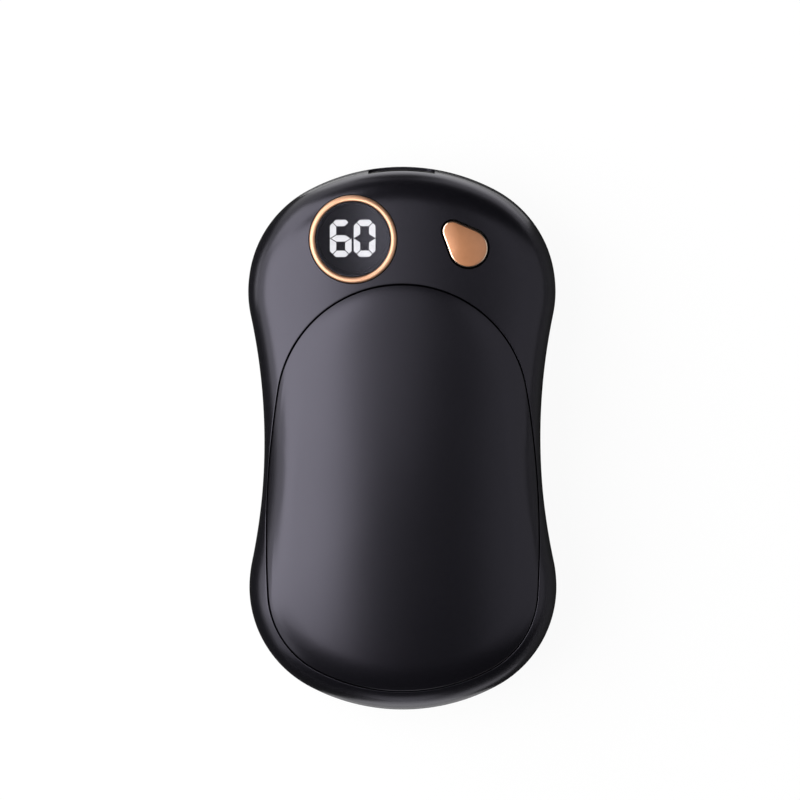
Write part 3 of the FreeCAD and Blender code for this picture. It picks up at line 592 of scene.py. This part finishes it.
tree.links.new(place_noise(tree, 150).outputs["Fac"], vary_sheen.inputs["Value"])
tree.links.new(vary_sheen.outputs["Result"], sheen.inputs["Roughness"])
fresnel = tree.nodes.new("ShaderNodeFresnel")
fresnel.inputs["IOR"].default_value = 1.30
coat = tree.nodes.new("ShaderNodeMixShader")
tree.links.new(fresnel.outputs["Fac"], coat.inputs["Fac"])
tree.links.new(through.outputs["BSDF"], coat.inputs[1])
tree.links.new(sheen.outputs["BSDF"], coat.inputs[2])
tree.links.new(coat.outputs["Shader"], tree.nodes["Material Output"].inputs["Surface"])
lens.data.materials.append(smoked)
smooth_over(lens)
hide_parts("display_lens")
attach(lens, "case")


# Display ring: turned from aluminium, its crest rounded over, then blasted and anodised rose gold. It
# stands a little proud of the case and presses in round the lens.
ring_outer = 8.4
ring_inner = 7.25
ring_round = 0.56
ring_proud = 0.3


def ring_row(reach, height, share):
    """One turn of the ring; the crest's rows follow the crown, the seat's stay level."""
    plan = display + round_about * reach
    return level_row(plan, height + share * (face_height(plan, -ring_proud) - display_seat))


ring_rows = [ring_row(ring_inner, display_seat, 0), ring_row(ring_outer, display_seat, 0)]
crest = display_seat
ring_rows += rounding(ring_row(ring_outer, crest - ring_round, 1), ring_row(ring_outer, crest, 1),
                      ring_row(ring_outer - ring_round, crest, 1), steps=11)
ring_rows += rounding(ring_row(ring_inner + ring_round, crest, 1), ring_row(ring_inner, crest, 1),
                      ring_row(ring_inner, crest - ring_round, 1), steps=11)
ring = wrap_rows("display_ring", ring_rows + ring_rows[:1])
ring_gold, tree, shader = new_finish("rose_gold_turned")
shader.inputs["Metallic"].default_value = 1.0
vary_colour(tree, shader, place_noise(tree, 420), (0.60, 0.335, 0.205), (0.65, 0.365, 0.225))
vary_roughness(tree, shader, place_noise(tree, 900), 0.46, 0.50)
shader.inputs["Coat Weight"].default_value = 0.35
shader.inputs["Coat Roughness"].default_value = 0.30
emboss(tree, shader, place_noise(tree, 9000).outputs["Fac"], 0.06, 0.00001)
ring.data.materials.append(ring_gold)
smooth_over(ring)
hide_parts("display_bezel")
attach(ring, "case")


# Tact switch under the button: moulded base, pressed steel cover and legs, and a moulded plunger that the
# button pushes down. The thin sprung dome under the plunger stands on its rim and gives way to it.
switch_heart = np.array((11.275, 38.82))
dome_foot = 15.8027
dome_rise = 0.73
dome_rim = 2.15
dome_sheet = 0.1
dome_radius = (dome_rim ** 2 + dome_rise ** 2) / (2 * dome_rise)
dome_hub = dome_foot + dome_rise - dome_radius


def dome_skin(radius):
    """Rows over a dome's outer or inner face, from its crest to its rim."""
    reach = math.acos((dome_foot - dome_hub) / radius)
    rows = []
    for angle in np.linspace(0, reach, 14):
        rows.append(level_row(switch_heart + round_about * radius * math.sin(angle),
                              dome_hub + radius * math.cos(angle)))
    return rows


dome = wrap_rows("switch_snap_dome", dome_skin(dome_radius) + dome_skin(dome_radius - dome_sheet)[::-1])
dome.data.materials.append(steel)
smooth_over(dome)
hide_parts("switch_dome")
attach(dome, "case")
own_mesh(dome)
for node, finish in (("switch_base", black_moulding), ("switch_cover", steel), ("switch_terminals", steel),
                     ("switch_plunger", black_moulding)):
    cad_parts[node].data.materials.clear()
    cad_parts[node].data.materials.append(finish)


# Button: a droplet of aluminium, anodised rose gold, with a domed face and a bright-cut edge, on a black
# moulded flange and stem, whose black also stands in as painted shade in the gap round the cap. The front
# shell catches the flange, and the stem stands on the switch's plunger.
button_big = np.array((12.81, 37.18))
button_small = button_big + np.array((-3.07, 3.28))
button_radius = 3.65
button_tip_radius = 1.89
button_cut = 0.14
button_proud = 0.35
cap_shrink = 0.06
cap_dome = 0.20
cut_drop = 0.10
cut_land = 0.03
flange_width = 1.2
flange_low = 18.503
flange_high = 19.253
stem_radius = 1.2
stem_foot = 18.053
stem_slot = 1
cut_slot = 2
big_steps = 84
run_steps = 14
tip_steps = 40
button_heart = (button_big + button_small) / 2


def droplet_edge(growth):
    """Plan loop round the button's large and small circles, grown outwards."""
    toward = math.atan2(*(button_small - button_big)[::-1])
    lean = math.acos((button_radius - button_tip_radius) / np.linalg.norm(button_small - button_big))
    run = np.arange(run_steps) / run_steps
    big_end = toward - lean + 2 * math.pi
    angle = np.concatenate((np.linspace(toward + lean, big_end, big_steps, endpoint=False),
                            np.full(run_steps, toward - lean),
                            np.linspace(toward - lean, toward + lean, tip_steps, endpoint=False),
                            np.full(run_steps, toward + lean)))
    share = np.concatenate((np.zeros(big_steps), run, np.ones(tip_steps), 1 - run))[:, None]
    ray = np.column_stack((np.cos(angle), np.sin(angle)))
    radius = button_radius * (1 - share) + button_tip_radius * share + growth
    return button_big * (1 - share) + button_small * share + ray * radius


cap_edge = droplet_edge(-cap_shrink)
cap_brim = droplet_edge(-cap_shrink - button_cut)
flange_edge = droplet_edge(flange_width)
stem_edge = cap_edge - button_heart
stem_edge = button_heart + stem_edge / np.linalg.norm(stem_edge, axis=1)[:, None] * stem_radius
cap_top = face_height(cap_edge, -button_proud)
cap_rows = [level_row(button_heart + (stem_edge - button_heart) * t, stem_foot) for t in (0, 0.5, 1)]
cap_rows += [level_row(stem_edge, flange_low), level_row(flange_edge, flange_low),
             level_row(flange_edge, flange_high), level_row(cap_edge, flange_high)]
# The flange and stem take black moulding, which also paints the shade in the gap round the cap.
cap_slots = dict.fromkeys(range(len(cap_rows) - 1), stem_slot)
cut_foot = level_row(cap_edge, cap_top - cut_drop)
cap_rows += [cut_foot - np.array((0, 0, cut_land)), cut_foot, face_row(cap_brim, -button_proud)]
cap_slots[len(cap_rows) - 2] = cut_slot
for t in np.linspace(1, 0, 18)[1:]:
    lift = button_proud + cap_dome * (1 - t ** 2)
    cap_rows.append(face_row(button_heart + (cap_brim - button_heart) * t, -lift))
cap = wrap_rows("button_droplet", cap_rows, cap_slots)
rose_gold, tree, shader = new_finish("rose_gold_anodising")
shader.inputs["Metallic"].default_value = 1.0
vary_colour(tree, shader, place_noise(tree, 420), (0.51, 0.228, 0.106), (0.56, 0.252, 0.118))
vary_roughness(tree, shader, place_noise(tree, 900), 0.52, 0.56)
shader.inputs["Coat Weight"].default_value = 1.0
shader.inputs["Coat Roughness"].default_value = 0.25
shader.inputs["Coat IOR"].default_value = 1.6
emboss(tree, shader, place_noise(tree, 9000).outputs["Fac"], 0.06, 0.00001)
cap.data.materials.append(rose_gold)
cap.data.materials.append(black_moulding)
bright_cut, tree, shader = new_finish("bright_cut_edge")
shader.inputs["Metallic"].default_value = 1.0
vary_colour(tree, shader, place_noise(tree, 420), (0.84, 0.62, 0.47), (0.90, 0.68, 0.52))
vary_roughness(tree, shader, place_noise(tree, 900), 0.20, 0.26)
cap.data.materials.append(bright_cut)
smooth_over(cap, 40)
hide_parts("button_cap")
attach(cap, "button")


# Front shell: the upper half of the case in the same satin moulding, with the seat for the display, the
# hole for the button, the pocket for the front plate and a notch over the port's insert. Its lip drops into
# the back shell's rebate. The walls of the notch, seat and hole and the gutter round the pocket are
# painted black as shade.
plate_widest = 26.1
plate_widest_y = -19.2
plate_top_radius = 24.0
plate_top_y = 6.2
plate_corner_radius = 17.0
plate_end_radius = 36.0
plate_end_y = -12.0
plate_middle = np.array((0, -9.0))
lip_inset = 1.3
lip_length = 1.2
boss_sunk = 1.2
display_boss_radius = 9.65
display_boss_foot = 18.934
collar_width = 1.3
collar_foot = 19.303
seat_radius = 8.45
seat_mouth_radius = 8.65
well_radius = 6.6
hole_gap = 0.3
hole_mouth_gap = 0.5
mouth_step = 0.1
cutter_top = 26.0
cutter_foot = 10.0
notch_half = 6.4
notch_depth = 0.45
notch_out = 1.0
notch_heart_out = 0.2
notch_low = 14.0
notch_high = 17.7
fine_columns = 8000
plate_taper = plate_widest - plate_top_radius
plate_rise = plate_top_y - plate_widest_y
side_radius = (plate_widest ** 2 + plate_rise ** 2 - plate_top_radius ** 2) / (2 * plate_taper)
side_hub = np.array((plate_widest - side_radius, plate_widest_y))
end_hub = np.array((0, plate_end_y))
to_side = side_radius - plate_corner_radius
to_end = plate_end_radius - plate_corner_radius
apart = np.linalg.norm(end_hub - side_hub)
along = (to_side ** 2 - to_end ** 2 + apart ** 2) / (2 * apart)
unit = (end_hub - side_hub) / apart
corner_hub = side_hub + unit * along + np.array((unit[1], -unit[0])) * math.sqrt(to_side ** 2 - along ** 2)
fine_edge, fine_out = walk_edge([
    (0, plate_top_y, plate_top_radius, 1), (*side_hub, side_radius, 1),
    (*corner_hub, plate_corner_radius, 1), (0, plate_end_y, plate_end_radius, 1),
    (-corner_hub[0], corner_hub[1], plate_corner_radius, 1),
    (-side_hub[0], side_hub[1], side_radius, 1)], fine_columns)


def nearest_share(loop, point):
    """Share of the way round a loop at which it comes nearest to a point."""
    return np.argmin(((loop - np.array(point)) ** 2).sum(1)) / len(loop)


edge_pairs = [((0, 52), (0, 30.2)), ((29.5, 28.4), (20.8, 18.2)), ((26.5, 0), (25.07, 0)),
              ((29.5, -28.4), (25.8, -28.5)), ((19.0, -47.2), (16.5, -43.8)), ((0, -52), (0, -48))]
body_shares = [nearest_share(body_edge, body) for body, plate in edge_pairs]
plate_shares = [nearest_share(fine_edge, plate) for body, plate in edge_pairs]
half_way = np.interp(np.arange(columns // 2 + 1) / columns, body_shares, plate_shares)
share = np.concatenate((half_way, 1 - half_way[-2:0:-1]))
picked = np.round(share * len(fine_edge)).astype(int) % len(fine_edge)
front_plate_edge, front_plate_out = fine_edge[picked], fine_out[picked]
front_rows = shell_rows(front_plate_edge + front_plate_out * seam_gap, front_plate_out, plate_middle,
                        lip_inset, -lip_length, thickness)
front_shell = wrap_rows("front_shell_moulding", front_rows, pocket_slots)
front_shell.data.materials.append(satin_black)
front_shell.data.materials.append(seam_painted_shade)


def join_on(piece, addition):
    """Grows an addition on to a piece."""
    bpy.ops.object.select_all(action="DESELECT")
    piece.select_set(True)
    bpy.context.view_layer.objects.active = piece
    union = piece.modifiers.new("union", "BOOLEAN")
    union.operation = "UNION"
    union.solver = "EXACT"
    union.object = addition
    bpy.ops.object.modifier_apply(modifier=union.name)
    bpy.data.objects.remove(addition)


def boss(name, edge, heart, underside):
    """Boss that hangs under the front face and ends inside its wall."""
    rows = [level_row(heart + (edge - heart) * t, underside) for t in (0, 0.5, 1)]
    for t in (1, 0.66, 0.33, 0):
        plan = heart + (edge - heart) * t
        rows.append(face_row(plan, boss_sunk))
    return wrap_rows(name, rows)


half_step = math.pi / ring_turns
boss_ray = np.column_stack((np.cos(turn + half_step), np.sin(turn + half_step)))
boss_edge = display + display_boss_radius * boss_ray
join_on(front_shell, boss("display_boss", boss_edge, display, display_boss_foot))
join_on(front_shell, boss("button_collar", droplet_edge(collar_width), button_heart, collar_foot))
cut_away(front_shell, port_cutter())
notch_turn = np.linspace(-1, 1, 33) * math.asin(notch_half / end_radius)
notch_ray = np.column_stack((np.sin(notch_turn), np.cos(notch_turn)))
case_end = np.array((0, end_y))
notch_edge = np.vstack((case_end + notch_ray * (end_radius - notch_depth),
                        case_end + notch_ray[::-1] * (end_radius + notch_out)))
notch_heart = np.array((0, half_length + notch_heart_out))
notch_rows = [level_row(notch_heart + (notch_edge - notch_heart) * t, height)
              for t, height in ((0, notch_low), (1, notch_low), (1, notch_high), (0, notch_high))]
# The notch's walls take the painted shade slot: painted black as shade.
notch_slots = dict.fromkeys(range(len(notch_rows) - 1), painted_shade_slot)
cut_away(front_shell, wrap_rows("port_notch", notch_rows, notch_slots))


def mouth_cutter(name, rows, edge, mouth, heart):
    """Cutter for a hole in the front face: the rows of its walls, and a mouth that opens at its edge.
    Its faces carry the painted shade slot, so the hole's walls are painted dark as shade.
    """
    rows.append(level_row(edge, face_height(edge, 0) - mouth_step))
    rows.append(level_row(mouth, face_height(mouth, 0) + mouth_step))
    rows += [level_row(heart + (mouth - heart) * t, cutter_top) for t in (1, 0)]
    return wrap_rows(name, rows, dict.fromkeys(range(len(rows) - 1), painted_shade_slot))


seat_edge = display + round_about * seat_radius
seat_mouth = display + round_about * seat_mouth_radius
well_edge = display + round_about * well_radius
seat_rows = [level_row(display + round_about * 0, cutter_foot), level_row(well_edge, cutter_foot),
             level_row(well_edge, display_seat), level_row(seat_edge, display_seat)]
cut_away(front_shell, mouth_cutter("ring_seat", seat_rows, seat_edge, seat_mouth, display))
hole_edge = droplet_edge(hole_gap)
hole_mouth = droplet_edge(hole_mouth_gap)
hole_rows = [level_row(button_heart + (hole_edge - button_heart) * t, cutter_foot) for t in (0, 1)]
cut_away(front_shell, mouth_cutter("button_hole", hole_rows, hole_edge, hole_mouth, button_heart))
smooth_over(front_shell)
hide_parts("front_shell")
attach(front_shell, "case")


# Front heat plate: an egg-shaped aluminium panel with the same satin coat, bonded into the front shell's
# pocket. It is domed a little above the shell's face, and only a hairline seam shows round it.
plate_dome = 0.5
plate_swell = 0.45
front_plate_rows = plate_rows(front_plate_edge, front_plate_out, plate_middle, thickness,
                              plate_dome, plate_swell)
front_plate = wrap_rows("front_heat_panel", front_plate_rows)
front_plate.data.materials.append(plate_coat)
smooth_over(front_plate)
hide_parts("front_heat_plate")
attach(front_plate, "case")


# Floor: a broad pale sweep that reads as white, seen directly or in a reflection, and keeps a soft shadow.
# Dark cards lie on it round the case as painted shade, and only reflections show them. Next to the foot
# they stand in for the shade there and give the rim its dark outline. Towards the right their colour is
# painted lighter, as painted light.
floor_width = 6000.0
floor_drop = 0.05
white_share = 0.94
card_level = 0.4
foot_tuck = 4.0
bpy.ops.object.select_all(action="DESELECT")
bpy.ops.mesh.primitive_plane_add(size=floor_width * mm, location=(0, 0, -floor_drop * mm))
floor = bpy.context.object
floor.name = "floor"
paper, tree, shader = new_finish("white_paper")
shader.inputs["Base Color"].default_value = (0.86, 0.86, 0.86, 1)
shader.inputs["Roughness"].default_value = 0.9
shader.inputs["Specular IOR Level"].default_value = 0.1
seen = tree.nodes.new("ShaderNodeLightPath")
camera_or_gloss = tree.nodes.new("ShaderNodeMath")
camera_or_gloss.operation = "MAXIMUM"
tree.links.new(seen.outputs["Is Camera Ray"], camera_or_gloss.inputs[0])
tree.links.new(seen.outputs["Is Glossy Ray"], camera_or_gloss.inputs[1])
direct = tree.nodes.new("ShaderNodeMath")
direct.operation = "MAXIMUM"
tree.links.new(camera_or_gloss.outputs["Value"], direct.inputs[0])
tree.links.new(seen.outputs["Is Transmission Ray"], direct.inputs[1])
share_of_white = tree.nodes.new("ShaderNodeMath")
share_of_white.operation = "MULTIPLY"
share_of_white.inputs[1].default_value = white_share
tree.links.new(direct.outputs["Value"], share_of_white.inputs[0])
white = tree.nodes.new("ShaderNodeEmission")
white.inputs["Strength"].default_value = 1.0
blend = tree.nodes.new("ShaderNodeMixShader")
tree.links.new(share_of_white.outputs["Value"], blend.inputs["Fac"])
tree.links.new(shader.outputs["BSDF"], blend.inputs[1])
tree.links.new(white.outputs["Emission"], blend.inputs[2])
tree.links.new(blend.outputs["Shader"], tree.nodes["Material Output"].inputs["Surface"])
floor.data.materials.append(paper)


def floor_card(name, near, far):
    """A card of painted shade on the floor between two rows of plan points, which shows only in
    reflections.
    """
    bpy.ops.object.select_all(action="DESELECT")
    bpy.ops.mesh.primitive_grid_add(x_subdivisions=len(near) - 1, y_subdivisions=1, size=1)
    card = bpy.context.object
    card.name = name
    places = np.vstack((level_row(near, card_level), level_row(far, card_level))) * mm
    card.data.vertices.foreach_set("co", places.astype(np.float32).ravel())
    card.visible_camera = False
    card.visible_diffuse = False
    card.visible_shadow = False
    card.visible_transmission = False
    return card


def foot_card(name, first, last, first_reach, last_reach):
    """A card of painted shade, where the foot shades the floor, that follows the case's edge from one
    column of its outline to another.
    """
    picked = np.arange(first, last + 1) % columns
    reach = np.linspace(first_reach, last_reach, len(picked))[:, None]
    edge, out = body_edge[picked], body_out[picked]
    return floor_card(name, edge - out * foot_tuck, edge + out * reach)


cards = [floor_card("left_card", ((-432, -740), (-19.3, -740)), ((-432, 12), (-19.3, 12))),
         floor_card("near_left_card", ((-95, 12), (-19.3, 12)), ((-95, 75), (-22, 55))),
         floor_card("right_card", ((21, -740), (436, -740)), ((21, 40.6), (436, 290))),
         floor_card("top_card", ((-22, 87), (21, 87)), ((-22, 500), (21, 500))),
         floor_card("bottom_card", ((-19.3, -740), (21, -740)), ((-19.3, -340), (21, -340))),
         foot_card("top_left_foot", -27, 0, 2.5, 2.5),
         foot_card("top_right_foot", 0, 46, 2.5, 13.0),
         foot_card("bottom_foot", 135, 185, 8.0, 8.0)]
# The cards' colour is painted shade, seen only in reflections.
painted_shade_card, tree, shader = new_finish("painted_shade_card")
place = tree.nodes.new("ShaderNodeTexCoord")
split = tree.nodes.new("ShaderNodeSeparateXYZ")
tree.links.new(place.outputs["Object"], split.inputs["Vector"])
# Painted light: the cards' colour grows lighter from x = 30 mm to 75 mm, as if more light fell on the
# right.
painted_light_ramp = tree.nodes.new("ShaderNodeMapRange")
painted_light_ramp.inputs["From Min"].default_value = 0.030
painted_light_ramp.inputs["From Max"].default_value = 0.075
painted_light_ramp.inputs["To Min"].default_value = 0.035
painted_light_ramp.inputs["To Max"].default_value = 0.24
tree.links.new(split.outputs["X"], painted_light_ramp.inputs["Value"])
tree.links.new(painted_light_ramp.outputs["Result"], shader.inputs["Base Color"])
shader.inputs["Roughness"].default_value = 0.95
shader.inputs["Specular IOR Level"].default_value = 0.0
for card in cards:
    card.data.materials.append(painted_shade_card)


# Light: a large soft box high on the left, with a feather that eases its edge off and three smaller boxes
# on the same side, a weak box on the right and a small one at the foot. Strips on the floor draw the light
# lines along the rim, and the surround is dim and even.
def soft_box(name, place, width, length, radiance, roll=0, upward=False):
    """Rectangular lamp that faces the part, or upwards, with its place and size in metres."""
    lamp = bpy.data.lights.new(name, "AREA")
    lamp.shape = "RECTANGLE"
    lamp.size = width
    lamp.size_y = length
    lamp.energy = radiance * width * length * math.pi
    holder = bpy.data.objects.new(name, lamp)
    bpy.context.scene.collection.objects.link(holder)
    holder.location = place
    toward = np.array((0.0, 0.0, 1.0)) if upward else -np.array(place, float)
    toward = toward / np.linalg.norm(toward)
    side = np.cross((0, 1, 0), -toward)
    side = side / np.linalg.norm(side)
    up = np.cross(-toward, side)
    cos, sin = math.cos(math.radians(roll)), math.sin(math.radians(roll))
    axes = np.column_stack((cos * side - sin * up, cos * up + sin * side, -toward))
    holder.rotation_euler = Matrix(axes.tolist()).to_euler()
    holder.visible_camera = False


soft_box("left_box", (-0.649, 0.022, 0.825), width=1.015, length=0.87, radiance=5.3)
soft_box("left_side_box", (-1.019, 0.022, 0.254), width=0.446, length=0.87, radiance=2.0)
soft_box("left_feather", (-0.100, 0.200, 1.025), width=0.42, length=0.58, radiance=0.9, roll=10)
soft_box("left_low_box", (-0.85, -0.50, 0.38), width=0.55, length=0.45, radiance=1.5)
soft_box("left_high_box", (-0.640, 0.650, 0.385), width=0.73, length=0.60, radiance=4.0)
soft_box("right_box", (0.766, 0, 0.643), width=1.25, length=1.0, radiance=0.62)
soft_box("left_strip", (-0.255, 0.047, 0.002), width=0.300, length=0.066, radiance=1.7, upward=True)
soft_box("top_strip", (0.016, 0.0735, 0.002), width=0.084, length=0.025, radiance=1.25, upward=True)
soft_box("bottom_strip", (0.024, -0.2035, 0.002), width=0.084, length=0.253, radiance=1.08, upward=True)
soft_box("foot_box", (0, -0.90, 0.13), width=0.35, length=0.22, radiance=1.5)
world = bpy.context.scene.world or bpy.data.worlds.new("surround")
bpy.context.scene.world = world
world.use_nodes = True
surround = world.node_tree.nodes["Background"]
surround.inputs["Color"].default_value = (0.9, 0.93, 1.0, 1)
surround.inputs["Strength"].default_value = 0.04


# Camera: a long lens above the face, tipped four degrees towards the port end and turned a hair. The
# picture takes in view_width at the level where the shells part.
view_tip = math.radians(4.0)
view_turn = math.radians(-0.2)
view_distance = 4000.0
view_width = 153.704
sensor_width = 36.0
aim = np.array((-0.44, 7.36, parting))
camera = bpy.data.objects.new("camera", bpy.data.cameras.new("camera"))
bpy.context.scene.collection.objects.link(camera)
camera.data.sensor_width = sensor_width
camera.data.lens = sensor_width * view_distance / view_width
view_ray = np.array((-math.sin(view_tip) * math.sin(view_turn),
                     math.sin(view_tip) * math.cos(view_turn), math.cos(view_tip)))
camera.location = (aim + view_distance * view_ray) * mm
camera.rotation_euler = (-view_tip, 0, view_turn)
bpy.context.scene.camera = camera
bpy.context.scene.view_settings.view_transform = "Standard"
